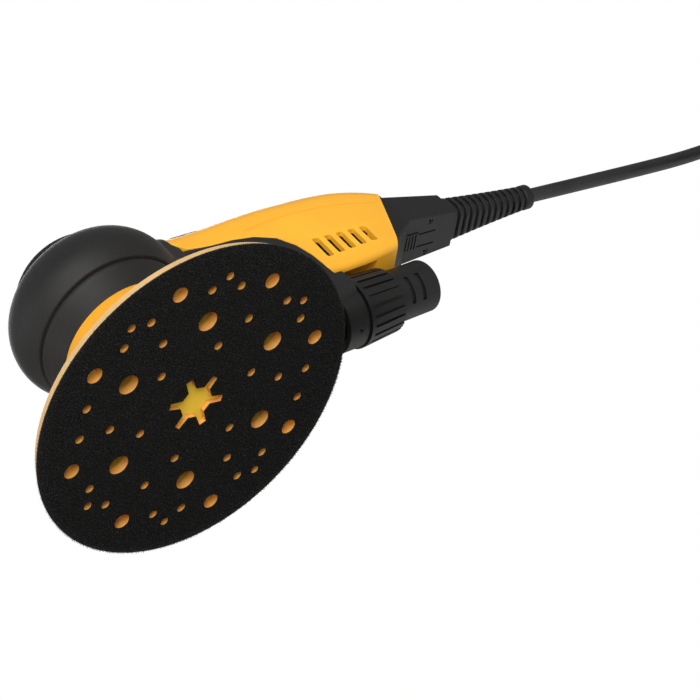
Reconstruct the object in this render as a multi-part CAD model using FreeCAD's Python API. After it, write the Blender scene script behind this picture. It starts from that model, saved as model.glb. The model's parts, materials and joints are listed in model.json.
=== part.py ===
import FreeCAD, Part
import math
import os

from FreeCAD import Rotation, Vector

# Random orbital sander, 150 mm pad, 5 mm orbit.  Millimetres, +Z up along the motor spindle.
# The origin is on the spindle axis, in the plane of the pad's grip face.  +X runs along the handle to the cord.

X_AXIS = Vector(1, 0, 0)
Y_AXIS = Vector(0, 1, 0)
Z_AXIS = Vector(0, 0, 1)
ORIGIN = Vector(0, 0, 0)

# ---- driving dimensions -------------------------------------------------------------------------

PAD_R = 75.0
ORBIT = 5.0
THROW = ORBIT / 2
THROW_ANGLE = -39.6
PAD_AXIS = Vector(THROW * math.cos(math.radians(THROW_ANGLE)), THROW * math.sin(math.radians(THROW_ANGLE)), 0)

FACE_T = 1.0
FOAM_TOP = 5.5
FOAM_TAPER = 2.0
PLATE_TOP = 11.0
PLATE_R = 66.0
PLATE_RIM_R = 70.0
PLATE_RIM_Z = 7.5
PLATE_HOLE_GAP = 0.8
PAD_PHASE = 30.6
STAR_PHASE = 8.4
STAR_ARM_R = 13.4
STAR_CORE_R = 7.7
STAR_FLOOR = 3.0

BOOT_RIM_Z = 48.0
HEAD_TOP_Z = 92.0
CAP_TOP_Z = 102.2

HANDLE_HALF_W = 18.0
REAR_CORNER_X = 137.6
REAR_CORNER_Z = 43.4
REAR_RAKE = 25.3
SHELL_WALL = 2.4

EXHAUST_X = 98.7
EXHAUST_Z = 25.8
EXHAUST_PITCH = 4.1
PORT_R = 15.3
PORT_BORE_R = 12.6
COLLAR_FRONT_R = 16.2
COLLAR_REAR_R = 14.9
COLLAR_L = 21.0
ADAPTER_R = 12.0
ADAPTER_BORE_R = 9.8
ADAPTER_END = 46.0

PLUG_BOTTOM_Z = 60.5
PLUG_FRONT_X = 157.0
PLUG_REAR_X = 187.5
PLUG_FRONT_HALF_W = 13.0
PLUG_REAR_HALF_W = 10.0
PLUG_FRONT_TOP = 82.0
PLUG_REAR_TOP = 76.2
RELIEF_END_X = 240.0

CORD_D = 7.0
CORD_R = CORD_D / 2
CORD_LENGTH = 4300.0
COIL_CENTRE = Vector(401.5, -62, 0)
COIL_MEAN_R = 42.0
COIL_WIDTH = 30.0
COIL_HEIGHT = 27.0

# The cord's route from the strain relief to the coil.  Between its points run straight lengths,
# joined by tangent arcs.
CORD_ROUTE = [
    (240.0, 0.0, 67.5),
    (274.0, 0.0, 65.4),
    (309.0, 0.0, 63.3),
    (345.0, 0.2, 62.0),
    (378.0, -3.0, 61.2),
    (407.0, -13.0, 58.8),
    (430.0, -31.0, 52.7),
    (445.0, -53.0, 43.5),
    (449.0, -78.0, 33.6),
    (438.5, -99.5, 26.6),
    (419.5, -111.8, 23.6),
]
TAIL_ROUTE = [(454.0, -62.0, 13.0), (454.0, -104.0, 13.0)]

MOTOR_R = 28.6
SHAFT_R = 4.0
RUNNING = 0.05

LEVER_FRONT_X = 47.0
LEVER_PIVOT_X = 101.0
LEVER_PIVOT_Z = 92.8
LEVER_HALF_W = 8.8
LEVER_PIN_R = 1.5
PANEL_X = 121.0
PANEL_Z = 96.2
PANEL_TILT = 4.6
KEY_XS = (-8.0, -1.4, 5.2)
KEY_R = 2.5
LENS_X = 10.2
VENT_X = 100.4
VENT_PITCH = 6.45
VENT_W = 3.5
VENT_CORNER = 0.9
VENT_LEAN = 5.0
TRAY_R = 17.8
TRAY_END = 27.0
TRAY_WALL = 1.6
TRAY_CLEARANCE = 0.8
SHELL_SCREWS = [(56.0, 82.0), (112.0, 86.0), (131.0, 52.0)]
SCREW_HEAD_Y = 16.0

PORT_L = 11.0
NECK_R = 13.5
PORT_SCREW_S = -5.0
COLLAR_RIBS = 22
SLOT_STATIONS = (29.5, 35.9)
SLOT_ANGLE = -45.0
LATCH_X = 161.8
LATCH_Y = 1.0
RELIEF_RIBS = 12
TIE_ANGLE = 200.0


# ---- helpers ------------------------------------------------------------------------------------

def cylinder(radius, z0, z1, centre=ORIGIN):
    return Part.makeCylinder(radius, z1 - z0, Vector(centre.x, centre.y, z0), Z_AXIS)


def ring(outer, inner, z0, z1, centre=ORIGIN):
    return cylinder(outer, z0, z1, centre).cut(cylinder(inner, z0 - 1, z1 + 1, centre))


def box(x0, x1, y0, y1, z0, z1):
    return Part.makeBox(x1 - x0, y1 - y0, z1 - z0, Vector(x0, y0, z0))


def polar(radius, degrees, z=0.0, centre=ORIGIN):
    angle = math.radians(degrees)
    return Vector(centre.x + radius * math.cos(angle), centre.y + radius * math.sin(angle), z)


def revolve(profile, smooth=False):
    """A solid of revolution about Z from (radius, height) points, closed along the axis."""
    points = [Vector(r, 0, z) for r, z in profile]
    if smooth:
        curve = Part.BSplineCurve()
        curve.interpolate(points)
        edges = [curve.toShape()]
    else:
        edges = [Part.makeLine(a, b) for a, b in zip(points, points[1:])]
    first = Vector(0, 0, points[0].z)
    last = Vector(0, 0, points[-1].z)
    edges += [Part.makeLine(points[-1], last), Part.makeLine(last, first), Part.makeLine(first, points[0])]
    return Part.Face(Part.Wire(Part.__sortEdges__(edges))).revolve(ORIGIN, Z_AXIS, 360)


def prism(points, y0, y1):
    """A side outline of (x, z) points, carried across the handle from y0 to y1."""
    corners = [Vector(x, y0, z) for x, z in points]
    return Part.Face(Part.makePolygon(corners + corners[:1])).extrude(Vector(0, y1 - y0, 0))


def section(x, half_w, z0, z1, top_r, bottom_r, rake=0.0):
    """A rounded rectangle across the handle at station x, leaning back by rake degrees."""
    lean = math.tan(math.radians(rake))
    middle = (z0 + z1) / 2

    def at(y, z):
        return Vector(x + lean * (z - middle), y, z)

    def bulge(cy, cz, radius, degrees):
        angle = math.radians(degrees)
        return at(cy + radius * math.cos(angle), cz + radius * math.sin(angle))

    corners = [(half_w - top_r, z1 - top_r, top_r, 0), (top_r - half_w, z1 - top_r, top_r, 90),
               (bottom_r - half_w, z0 + bottom_r, bottom_r, 180), (half_w - bottom_r, z0 + bottom_r, bottom_r, 270)]
    edges = []
    for i, (cy, cz, radius, start) in enumerate(corners):
        edges.append(Part.Arc(*[bulge(cy, cz, radius, start + turn) for turn in (0, 45, 90)]).toShape())
        ny, nz, next_radius, next_start = corners[(i + 1) % 4]
        edges.append(Part.makeLine(bulge(cy, cz, radius, start + 90), bulge(ny, nz, next_radius, next_start)))
    return Part.Wire(edges)


def loft(wires, ruled=False):
    return Part.makeLoft(wires, True, ruled)


def exhaust(shape):
    """Moves a shape built along +Z from the origin onto the exhaust axis."""
    placed = shape.copy()
    placed.Placement = FreeCAD.Placement(Vector(EXHAUST_X, 0, EXHAUST_Z), Rotation(Y_AXIS, 90 - EXHAUST_PITCH))
    return placed


def socket_screw(head_r, head_h, shank_r, length):
    """A screw along Z with its head's top at the origin and a hexagon socket."""
    head = Part.makeCylinder(head_r, head_h, Vector(0, 0, -head_h))
    shank = Part.makeCylinder(shank_r, length, Vector(0, 0, -length))
    flats = Part.makePolygon([polar(head_r * 0.5, 60 * i, -head_h * 0.6) for i in range(7)])
    return head.fuse(shank).cut(Part.Face(flats).extrude(Z_AXIS * head_h))


def place(shape, position, direction):
    placed = shape.copy()
    placed.Placement = FreeCAD.Placement(position, Rotation(Z_AXIS, direction))
    return placed


def mirror_y(shape):
    return shape.mirror(ORIGIN, Y_AXIS)


def largest(shape):
    return max(shape.Solids, key=lambda solid: solid.Volume)


def save(name, *solids):
    shape = solids[0] if len(solids) == 1 else Part.makeCompound(list(solids))
    if len(solids) == 1 and len(shape.Solids) == 1:
        shape = shape.Solids[0]
    if not shape.isValid() or not shape.Solids:
        raise ValueError(name + " is not a valid solid")
    shape.exportStep("parts/" + name + ".step")
    print(name, len(shape.Solids), round(shape.Volume))


# ---- pad ----------------------------------------------------------------------------------------

def pad_hole_centres():
    """Forty-eight dust holes in six rings: (radius of the hole, ring radius, angles from the pad's own zero)."""
    fifteen = [15 * i for i in range(24) if i % 3]
    return [
        (4.6, 40.5, [60 * i for i in range(6)]),
        (3.6, 59.8, [45 * i for i in range(8)]),
        (2.1, 27.4, [60 * i + 15 for i in range(6)]),
        (2.1, 41.5, [60 * i + 30 for i in range(6)]),
        (2.1, 55.7, fifteen),
        (2.0, 60.7, [45 * i + 22.5 for i in range(8) if i % 4 != 3]),
    ]


def pad_holes(z0, z1, grow=0.0):
    holes = []
    for radius, ring_radius, angles in pad_hole_centres():
        for angle in angles:
            holes.append(cylinder(radius + grow, z0, z1, polar(ring_radius, PAD_PHASE + angle, 0, PAD_AXIS)))
    return Part.makeCompound(holes)


def star(z0, z1, shrink=0.0):
    """The six-armed key in the middle of the pad."""
    corners = []
    for arm in range(6):
        angle = STAR_PHASE + 60 * arm
        tip_half = math.degrees((1.7 - shrink * 0.5) / STAR_ARM_R)
        root_half = 15
        corners.append(polar(STAR_CORE_R - shrink, angle - root_half, z0, PAD_AXIS))
        corners.append(polar(STAR_ARM_R - shrink, angle - tip_half, z0, PAD_AXIS))
        corners.append(polar(STAR_ARM_R - shrink, angle + tip_half, z0, PAD_AXIS))
        corners.append(polar(STAR_CORE_R - shrink, angle + root_half, z0, PAD_AXIS))
    return Part.Face(Part.makePolygon(corners + corners[:1])).extrude(Vector(0, 0, z1 - z0))


def make_pad():
    face = cylinder(PAD_R, 0, FACE_T, PAD_AXIS).cut(pad_holes(-1, 2)).cut(star(-1, 2))
    save("grip_face", face)

    foam = Part.makeCone(PAD_R, PAD_R - FOAM_TAPER, FOAM_TOP - FACE_T, Vector(PAD_AXIS.x, PAD_AXIS.y, FACE_T))
    foam = foam.cut(pad_holes(0, 10)).cut(star(0, 10))
    save("pad_foam", foam)

    plate = revolve([(0.01, FOAM_TOP), (PLATE_RIM_R, FOAM_TOP), (PLATE_RIM_R, PLATE_RIM_Z), (PLATE_R, PLATE_TOP),
                     (0.01, PLATE_TOP)]).translated(PAD_AXIS)
    hub = cylinder(16, PLATE_TOP, 15.5, PAD_AXIS)
    ribs = [box(12, 60, -0.9, 0.9, PLATE_TOP - 0.5, 12.6) for _ in range(12)]
    for i, rib in enumerate(ribs):
        rib.rotate(ORIGIN, Z_AXIS, PAD_PHASE + 15 + 30 * i)
        rib.translate(PAD_AXIS)
    plate = plate.fuse([hub] + ribs).cut(pad_holes(5, 20, -0.3))
    dust_r, dust_ring_r, dust_angles = pad_hole_centres()[0]
    for angle in dust_angles:
        middle = polar(dust_ring_r, PAD_PHASE + angle, 0, PAD_AXIS)
        plate = plate.cut(cylinder(dust_r + PLATE_HOLE_GAP, 5, 20, middle))
    plate = plate.fuse(star(STAR_FLOOR, PLATE_TOP, 0.1)).cut(cylinder(3.95, 6, 17, PAD_AXIS))
    save("pad_plate", plate.removeSplitter())

    stud = cylinder(3.95, 6, 26, PAD_AXIS)
    save("pad_stud", stud)

    holder = cylinder(8.5, 15.6, 18.5, PAD_AXIS).fuse(cylinder(6.0, 18.5, 37.5, PAD_AXIS))
    holder = holder.cut(cylinder(4.0, 15, 27, PAD_AXIS))
    for flat in (box(-10, 10, 7.2, 10, 15, 18.6), box(-10, 10, -10, -7.2, 15, 18.6)):
        holder = holder.cut(flat.translated(PAD_AXIS))
    save("pad_spindle", holder)


# ---- spindle ------------------------------------------------------------------------------------

def make_spindle():
    cup = ring(13.5, 10.5, 20, 38, PAD_AXIS).fuse(cylinder(13.5, 38, 40, PAD_AXIS))
    shaft = cylinder(SHAFT_R, 39, 88.5)
    save("eccentric_shaft", cup.fuse(shaft).removeSplitter())

    bearings = [ring(10.5, 6.0 + RUNNING, z, z + 7) for z in (20.6, 29.4)]
    for bearing in bearings:
        bearing.translate(PAD_AXIS)
    save("pad_bearings", *bearings)

    weight = ring(25, SHAFT_R, 40.2, 43.6)
    keep = box(-30, 30, -30, 3, 39, 45)
    keep.rotate(ORIGIN, Z_AXIS, THROW_ANGLE - 90 + 180)
    weight = weight.common(keep.fuse(cylinder(8, 39, 45))).cut(cylinder(SHAFT_R, 39, 45))
    save("counterweight", weight.removeSplitter())

    disc = ring(26.5, SHAFT_R, 44.0, 45.2)
    blades = []
    for i in range(9):
        blade = box(9, 25.5, -0.5, 0.5, 45.1, 49.6)
        blade.rotate(Vector(9, 0, 0), Z_AXIS, 22)
        blade.rotate(ORIGIN, Z_AXIS, 40 * i)
        blades.append(blade)
    fan = disc.fuse([ring(9.5, SHAFT_R, 45.1, 49.6)] + blades)
    save("fan", fan.removeSplitter())

    save("rotor_core", ring(12.0, SHAFT_R, 60, 78))
    magnets = []
    for i in range(4):
        wedge = ring(14.2, 12.0, 60, 78).common(box(0, 20, -8.2, 8.2, 59, 79))
        wedge.rotate(ORIGIN, Z_AXIS, 90 * i)
        magnets.append(wedge)
    save("rotor_magnets", *magnets)


# ---- motor and head -----------------------------------------------------------------------------

def make_motor():
    tooth_count = 6
    core = ring(26.4, 22.0, 61, 77)
    teeth = []
    for i in range(tooth_count):
        tooth = box(15.0, 22.5, -2.4, 2.4, 61, 77).fuse(ring(16.4, 14.8, 61, 77).common(box(10, 20, -5, 5, 60, 78)))
        tooth.rotate(ORIGIN, Z_AXIS, 360 / tooth_count * i)
        teeth.append(tooth)
    save("stator_core", core.fuse(teeth).removeSplitter())

    coils = []
    for i in range(tooth_count):
        coil = box(16.6, 21.4, -4.6, 4.6, 58.6, 79.4).cut(box(16, 22, -2.45, 2.45, 60.9, 77.1))
        coil.rotate(ORIGIN, Z_AXIS, 360 / tooth_count * i)
        coils.append(coil)
    save("stator_windings", *coils)

    bearing = ring(9.5, SHAFT_R + RUNNING, 0, 6)
    save("lower_bearing", bearing.translated(Vector(0, 0, 52.4)))
    save("upper_bearing", bearing.translated(Vector(0, 0, 81.6)))

    can = ring(MOTOR_R, 26.4, 50.4, 82.0)
    floor = ring(26.4, 9.5, 54.6, 56.6).fuse(ring(12.0, 9.5, 52.4, 56.6))
    can = can.fuse(floor)
    save("motor_sleeve", can.removeSplitter())

    lid = revolve([(0.01, 82.05), (28.6, 82.05), (28.6, 83.4), (12.5, 88.8), (0.01, 88.8)])
    lid = lid.cut(revolve([(0.01, 81.0), (26.4, 81.0), (26.4, 82.6), (12.0, 86.9), (9.5, 86.9), (9.5, 87.6),
                           (0.01, 87.6)]))
    boss = ring(12.0, 9.5, 81.7, 87.4)
    lid = lid.fuse(boss).cut(cylinder(SHAFT_R + 0.6, 80, 90))
    save("motor_lid", lid.removeSplitter())


BOOT_OUTLINE = [(31.0, 48.0), (33.2, 54.0), (35.4, 59.0), (38.6, 65.0), (40.2, 71.0), (39.8, 77.5),
                (37.3, 84.0), (33.1, 89.0), (27.4, HEAD_TOP_Z)]


def groove(radius, z, half_h, depth):
    return ring(radius + 5, radius - depth, z - half_h, z + half_h)


def neck_sections(inset):
    return loft([
        section(12, 27 - inset, 56 + inset, 90.5 - inset, 12, 10),
        section(30, 22.5 - inset, 56 + inset, 92.5 - inset, 12, 9),
        section(43, 18.6 - inset, 57 + inset, 94.0 - inset, 11, 8),
    ])


def boot_outer():
    bulb = revolve(BOOT_OUTLINE, smooth=True)
    return bulb.fuse(neck_sections(0.0).cut(prism(BOOT_CUT, -40, 40)))


def shroud_outer():
    return revolve([(0.01, 13.6), (61.5, 13.6), (61.5, 14.6), (56.0, 18.0), (44.0, 27.0), (35.5, 38.0),
                    (31.2, 47.9), (0.01, 47.9)])


def shroud_inner():
    return revolve([(0.01, 13.0), (60.0, 13.0), (60.0, 14.2), (54.9, 16.4), (42.6, 25.4), (33.8, 37.0),
                    (29.6, 46.4), (29.6, 49.0), (0.01, 49.0)])


def make_head():
    boot = boot_outer().cut(groove(35.4, 60.0, 0.7, 1.5))
    boot = boot.cut(cylinder(MOTOR_R + 0.2, 40, 83.6))
    boot = boot.cut(Part.makeCone(MOTOR_R + 0.2, 13, 5.8, Vector(0, 0, 83.6)))
    boot = boot.cut(box(0, 60, -9, 9, 62, 80)).cut(ring(27.1, 10, 90.4, 100)).cut(cylinder(13.2, 80, 100))
    save("head_boot", largest(boot))

    cap = revolve([(0.01, 90.5), (26.4, 90.5), (26.2, 95.0), (25.2, 98.6), (22.8, 101.2), (19.0, CAP_TOP_Z),
                   (0.01, CAP_TOP_Z)])
    save("head_cap", cap.fuse(cylinder(12.6, 89.2, 91)).removeSplitter())

    window = box(24, 80, -14.0, 14.0, 16.5, 44)
    save("shroud", largest(shroud_outer().cut(shroud_inner()).cut(window)))
    save("pad_brake_ring", ring(59.9, 57.2, 13.2, 14.0))


# ---- handle -------------------------------------------------------------------------------------

# The side outline where the yellow shells meet the black base, from the neck to the rear lower edge.
YELLOW_EDGE = [(40.5, 88.0), (41.2, 81.5), (46.0, 76.4), (57.0, 75.2), (68.7, 75.0), (79.0, 72.7), (87.6, 67.4),
               (92.3, 58.8), (94.3, 49.5), (94.6, 41.0), (95.0, 34.0)]
BASE_TRIM = [(40.1, 110), (40.1, 88.0), (40.8, 81.3), (45.7, 76.1), (56.9, 74.9), (68.6, 74.7), (78.8, 72.4),
             (87.3, 67.1), (92.0, 58.6), (94.0, 49.4), (94.3, 41.0), (94.7, 33.8), (120, 33.8), (120, 110)]
BOOT_CUT = [(40.2, 110), (40.0, 88.0), (40.7, 81.2), (45.5, 75.8), (60, 74.4), (60, 110)]


def handle_body(inset=0.0):
    i = inset
    return loft([
        section(36, 19.4 - i, 44 + i, 93.2 - i, 11, 9),
        section(60, 17.4 - i, 42 + i, 94.6 - i, 11, 9),
        section(85, 18.0 - i, 38 + i, 96.2 - i, 11, 5),
        section(112, HANDLE_HALF_W + 0.5 - i, 37.6 + i, 96.6 - i, 12, 4),
        section(136, HANDLE_HALF_W - i, 41.4 + i, 94.6 - i, 12, 4),
        section(152, 16.6 - i, 46.6 + i, 90.0 - i, 12, 4),
        section(168, 13.6 - i, 52 + i, 82.0 - i, 10, 4),
    ])


def yellow_region():
    return prism(YELLOW_EDGE + [(170, 34), (170, 110), (40.6, 110)], -40, 40)


def behind_rake(offset=0.0):
    """Everything behind the raked rear face of the shells, moved back by offset."""
    lean = math.tan(math.radians(REAR_RAKE))
    low = REAR_CORNER_X + offset - lean * 30
    high = low + lean * 120
    return prism([(low, REAR_CORNER_Z - 30), (high, REAR_CORNER_Z + 90), (260, REAR_CORNER_Z + 90),
                  (260, REAR_CORNER_Z - 30)], -60, 60)


def vent_slots(side):
    """Five slots through the handle's side, leaning with its rear face."""
    slots = []
    for i in range(5):
        low = 45.4 + 0.5 * i
        high = 59.6 - 0.2 * i
        slot = box(0, VENT_W, -25, -10, low, high)
        slot = slot.makeFillet(VENT_CORNER, [e for e in slot.Edges if e.BoundBox.YLength > 10])
        slot.rotate(Vector(0, 0, (low + high) / 2), Y_AXIS, VENT_LEAN)
        slots.append(slot.translated(Vector(VENT_X + VENT_PITCH * i, 0, 0)))
    shape = Part.makeCompound(slots)
    return mirror_y(shape) if side > 0 else shape


def crease(side):
    """A fine line where each side turns in towards the back of the handle."""
    line = [(78, 78.4), (92, 79.8), (106, 80.4), (120, 79.4), (134, 77.0), (150, 73.2)]
    band = [(x, z + 0.18) for x, z in line] + [(x, z - 0.18) for x, z in reversed(line)]
    groove_body = prism(band, -30, 30).cut(handle_body(0.22))
    return groove_body.common(box(0, 200, 0, 40, 0, 110) if side > 0 else box(0, 200, -40, 0, 0, 110))


def lever_pocket():
    return box(LEVER_FRONT_X - 0.4, LEVER_PIVOT_X + 3.6, -LEVER_HALF_W - 0.4, LEVER_HALF_W + 0.4, 88.4, 110)


def on_panel(shape):
    """Tilts a shape built about the middle of the key panel to the slope of the handle's back."""
    placed = shape.copy()
    placed.Placement = FreeCAD.Placement(Vector(PANEL_X, 0, PANEL_Z), Rotation(Y_AXIS, PANEL_TILT))
    return placed


def handle_shell(side):
    near, far = (0.05, 40) if side > 0 else (-40, -0.05)
    shell = handle_body().common(yellow_region()).cut(behind_rake()).cut(handle_body(SHELL_WALL))
    bosses = []
    for x, z in SHELL_SCREWS:
        bosses.append(Part.makeCylinder(3.6, 34, Vector(x, -17, z), Y_AXIS))
    bosses.append(box(LEVER_PIVOT_X - 3, LEVER_PIVOT_X + 3.5, -14, 14, 88.6, 95))
    shell = shell.fuse(Part.makeCompound(bosses).common(handle_body(SHELL_WALL - 0.4)))
    tray = exhaust(Part.makeCylinder(TRAY_R + TRAY_WALL, TRAY_END + 2, Vector(0, 0, -2)))
    shell = shell.fuse(tray.common(handle_body()).common(yellow_region()))
    shell = shell.common(box(-20, 200, near, far, 0, 120)).cut(vent_slots(side)).cut(lever_pocket())
    shell = shell.cut(exhaust(Part.makeCylinder(TRAY_R, TRAY_END - TRAY_WALL + 8, Vector(0, 0, -8))))
    shell = shell.cut(exhaust(Part.makeCylinder(ADAPTER_R + TRAY_CLEARANCE, ADAPTER_END))).cut(crease(side))
    shell = shell.cut(on_panel(box(-12.1, 12.1, -5.7, 5.7, -4, 10)))
    shell = shell.cut(Part.makeCylinder(LEVER_PIN_R, 26, Vector(LEVER_PIVOT_X, -13, LEVER_PIVOT_Z), Y_AXIS))
    for x, z in SHELL_SCREWS:
        shell = shell.cut(place(screw_clearance(), Vector(x, SCREW_HEAD_Y, z), Y_AXIS))
    return largest(shell)


def screw_clearance():
    head = Part.makeCylinder(3.05, 8, Vector(0, 0, -2.6))
    return head.fuse(Part.makeCylinder(1.5, 26, Vector(0, 0, -26)))


def base_outline():
    """The black body between the shroud, the neck and the yellow shells."""
    solid = loft([
        section(26, 20.5, 44.0, 74.6, 5, 6),
        section(48, 18.2, 24.0, 78.0, 4, 8),
        section(68, 17.8, 14.4, 77.4, 4, 11),
        section(84, 18.0, 14.4, 74.4, 4, 12),
        section(98.5, 18.2, 21.0, 60.0, 4, 6),
    ])
    return solid.cut(prism(BASE_TRIM, -40, 40))


def duct_bore():
    return loft([
        section(22, 13.4, 18.5, 42.5, 7, 7),
        section(50, 13.4, 17.5, 40.0, 9, 9),
        section(74, 12.6, 16.6, 39.0, 11, 11),
        section(90, 12.2, 13.1, 37.6, 12, 12),
    ])


def make_handle():
    save("handle_shell_right", handle_shell(-1))
    save("handle_shell_left", handle_shell(1))

    screw = socket_screw(3.0, 2.4, 1.5, 24)
    save("shell_screws", *[place(screw, Vector(x, SCREW_HEAD_Y, z), Y_AXIS) for x, z in SHELL_SCREWS])

    base = base_outline().cut(shroud_outer()).cut(boot_outer()).cut(duct_bore())
    base = base.cut(exhaust(Part.makeCylinder(PORT_R, 60, Vector(0, 0, -PORT_L))))
    base = base.cut(box(44, 90, -14.6, 14.6, 46, 71)).cut(box(36, 90, -12, 12, 62, 80))
    base = base.cut(cylinder(MOTOR_R + 0.3, 40, 90)).cut(cylinder(31.3, 40, 48.2))
    save("handle_base", largest(base))


def lever_outline(half_w):
    front, back = LEVER_FRONT_X, LEVER_PIVOT_X + 3.2
    return [(front, 93.4), (front + 1.2, 97.4), (front + 6, 98.9), (front + 18, 99.2), (front + 34, 98.4),
            (back - 6, 97.0), (back - 1.0, 96.2), (back, 94.6), (back, 90.6), (back - 6.4, 90.6),
            (back - 9, 93.0), (front + 3, 92.8)]


def make_lever():
    lever = prism(lever_outline(LEVER_HALF_W), -LEVER_HALF_W, LEVER_HALF_W)
    edges = [e for e in lever.Edges if abs(e.BoundBox.ZMin - e.BoundBox.ZMax) < 2.6 and e.BoundBox.YLength < 0.1
             and e.BoundBox.ZMin > 95.5 and e.BoundBox.XLength > 4]
    lever = lever.makeFillet(1.2, edges)
    pin = Part.makeCylinder(LEVER_PIN_R + RUNNING, 40, Vector(LEVER_PIVOT_X, -20, LEVER_PIVOT_Z), Y_AXIS)
    finger = box(70, 74, -2, 2, 90.0, 94)
    save("lever", lever.fuse(finger).cut(pin).removeSplitter())
    save("lever_pin", Part.makeCylinder(LEVER_PIN_R, 25, Vector(LEVER_PIVOT_X, -12.5, LEVER_PIVOT_Z), Y_AXIS))
    leaf = prism([(52, 92.75), (66, 92.75), (66, 92.25), (60, 92.25), (53, 88.6), (52.4, 89.0), (58.6, 92.25),
                  (52, 92.25)], -3, 3)
    save("lever_spring", leaf)
    switch = box(65, 79, -4, 4, 76.5, 85.5).fuse(box(70.8, 73.2, -1.2, 1.2, 85, 86.2))
    save("lever_switch", switch.removeSplitter())


def make_keys():
    panel = box(-12, 12, -5.6, 5.6, -3.4, 0.3)
    panel = panel.makeFillet(1.5, [e for e in panel.Edges if e.BoundBox.ZLength > 3])
    for x in KEY_XS:
        panel = panel.cut(Part.makeCylinder(KEY_R + 0.3, 8, Vector(x, 0, -5)))
    panel = panel.cut(Part.makeCylinder(1.0, 8, Vector(LENS_X, 0, -5)))
    save("key_panel", on_panel(panel))
    save("status_lens", on_panel(Part.makeCylinder(1.0, 2.4, Vector(LENS_X, 0, -1.9))))
    names = ("speed_down_button", "power_button", "speed_up_button")
    for name, x in zip(names, KEY_XS):
        key = Part.makeCylinder(KEY_R, 3.6, Vector(x, 0, -2.2))
        key = key.makeFillet(0.5, [e for e in key.Edges if e.BoundBox.ZMin > 1.3])
        save(name, on_panel(key))


def make_electronics():
    board = box(98, 139, -13.6, 13.6, 66.0, 67.6).cut(Part.makeCompound(
        [Part.makeCylinder(1.6, 5, Vector(x, y, 64)) for x in (101, 136) for y in (-10, 10)]))
    save("control_board", board)
    parts = [Part.makeCylinder(4.5, 13, Vector(108, y, 67.6)) for y in (-6.5, 6.5)]
    parts += [box(118 + 9 * i, 124 + 9 * i, -4, 4, 67.6, 70.2) for i in range(2)]
    parts += [box(116, 132, -12.5, -6.5, 67.6, 77), box(100, 132, -9, 9, 60.4, 66.0)]
    save("board_components", *parts)


# ---- exhaust ------------------------------------------------------------------------------------

def station_ring(outer, inner, s0, s1):
    tube = Part.makeCylinder(outer, s1 - s0, Vector(0, 0, s0))
    return tube.cut(Part.makeCylinder(inner, s1 - s0 + 2, Vector(0, 0, s0 - 1)))


def make_exhaust():
    port = station_ring(PORT_R, PORT_BORE_R, -PORT_L, 0).fuse(station_ring(NECK_R, PORT_BORE_R - 1.6, -2, 6))
    angle = math.radians(-9.4)
    outward = Rotation(Y_AXIS, 90 - EXHAUST_PITCH).multVec(Vector(math.cos(angle), math.sin(angle), 0))
    seat = Vector(EXHAUST_X, 0, EXHAUST_Z) + exhaust_axis() * PORT_SCREW_S + outward * (PORT_R - 0.25)
    screw = place(socket_screw(1.5, 1.0, 0.8, 2.2), seat, outward)
    port = exhaust(port).cut(place(Part.makeCylinder(1.5, 4, Vector(0, 0, -1.0)), seat, outward))
    port = port.cut(place(Part.makeCylinder(0.8, 4, Vector(0, 0, -2.2)), seat, outward))
    save("exhaust_port", largest(port))
    save("port_screw", screw)
    save("exhaust_seal", exhaust(station_ring(NECK_R - 0.2, PORT_BORE_R - 1.6, 6.0, 6.8)))

    collar = Part.makeCone(COLLAR_FRONT_R - 0.9, COLLAR_REAR_R - 0.9, COLLAR_L, Vector(0, 0, 0.9))
    rim = Part.makeCone(COLLAR_FRONT_R, COLLAR_FRONT_R - 0.1, 2.2, Vector(0, 0, 0.9))
    ribs = []
    for i in range(COLLAR_RIBS):
        rib = prism([(13.6, 2.4), (COLLAR_FRONT_R - 0.12, 2.4), (COLLAR_REAR_R, 0.9 + COLLAR_L),
                     (13.6, 0.9 + COLLAR_L)], -1.55, 1.55)
        rib.rotate(ORIGIN, Z_AXIS, 360 / COLLAR_RIBS * i)
        ribs.append(rib)
    collar = collar.fuse([rim] + ribs)
    collar = collar.cut(Part.makeCylinder(NECK_R + RUNNING, 9.6, Vector(0, 0, 0)))
    collar = collar.cut(Part.makeCylinder(ADAPTER_R, 40, Vector(0, 0, 5)))
    save("exhaust_collar", exhaust(collar.removeSplitter()))

    tube = station_ring(ADAPTER_R, ADAPTER_BORE_R, 9.6, ADAPTER_END)
    tube = tube.fuse(station_ring(NECK_R - 0.1, ADAPTER_BORE_R, 7.2, 9.6))
    tube = tube.makeFillet(0.9, [e for e in tube.Edges if e.BoundBox.ZMin > ADAPTER_END - 0.01
                                 and e.BoundBox.XLength > 2 * ADAPTER_R - 0.5])
    for s in SLOT_STATIONS:
        band = station_ring(ADAPTER_R + 1, ADAPTER_R - 1.0, s - 1.1, s + 1.1)
        window = Part.makeBox(20, 12.5, 6, Vector(4, -6.25, s - 3))
        window.rotate(ORIGIN, Z_AXIS, SLOT_ANGLE)
        tube = tube.cut(band.common(window))
    save("hose_adapter", exhaust(tube.removeSplitter()))


def exhaust_axis():
    pitch = math.radians(EXHAUST_PITCH)
    return Vector(math.cos(pitch), 0, math.sin(pitch))


# ---- power connector ----------------------------------------------------------------------------

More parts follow.
